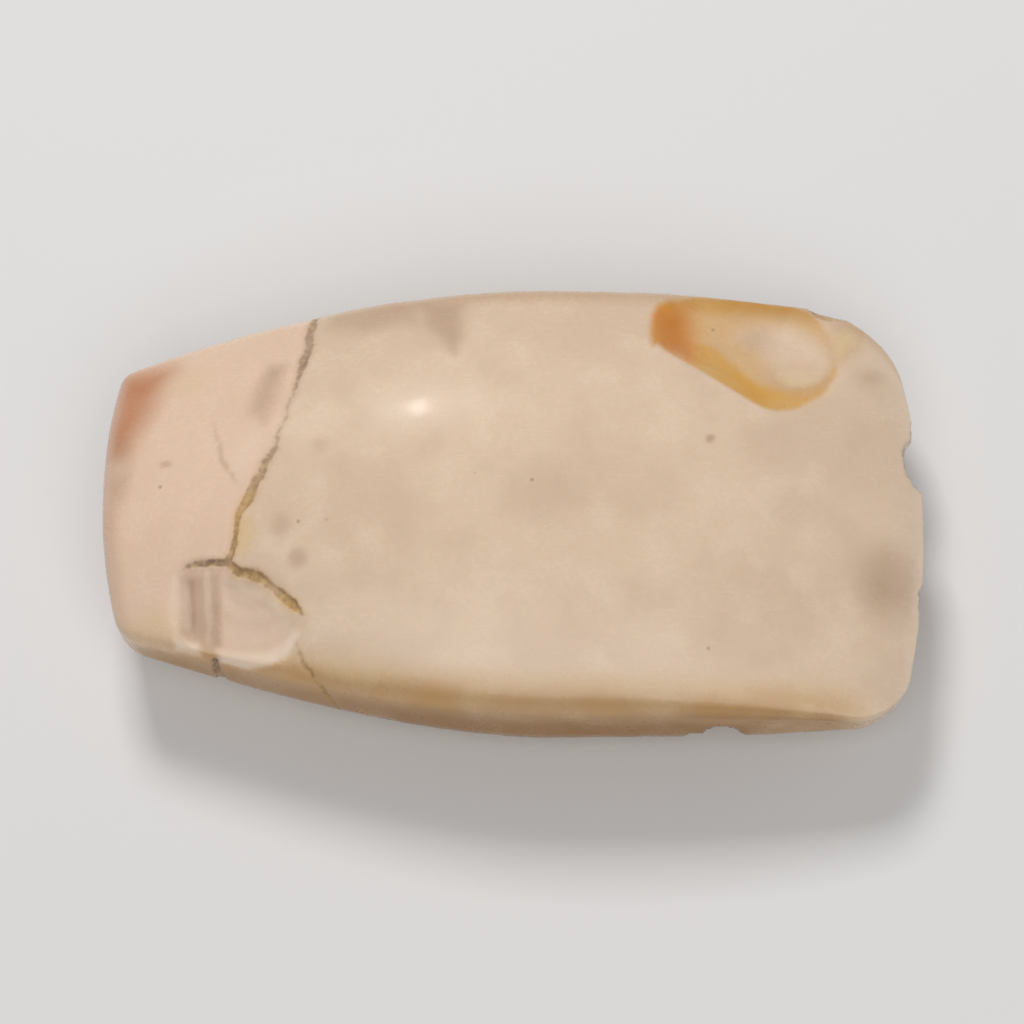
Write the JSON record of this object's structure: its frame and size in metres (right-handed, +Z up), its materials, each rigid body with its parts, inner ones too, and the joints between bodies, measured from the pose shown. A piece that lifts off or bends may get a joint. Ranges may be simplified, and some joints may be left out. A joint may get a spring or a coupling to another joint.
{
  "type": "jadeite axe head",
  "caption": "Polished stone axe head with convex faces, ground sides and a curved cutting edge; old flake scars and a mended break by the butt.",
  "frame": {"origin": "middle of the bounding box, on the surface the axe head lies on", "axes": "+X from the butt to the cutting edge, +Y towards the rim with the large flake scar, +Z up, out of the front face"},
  "size_m": [0.1196, 0.066, 0.0284],
  "materials": {
    "polished_stone": "polished, waxy, cream with ochre-stained flake scars"
  },
  "bodies": {
    "root": {"axe_head": "polished_stone"}
  },
  "joints": []
}
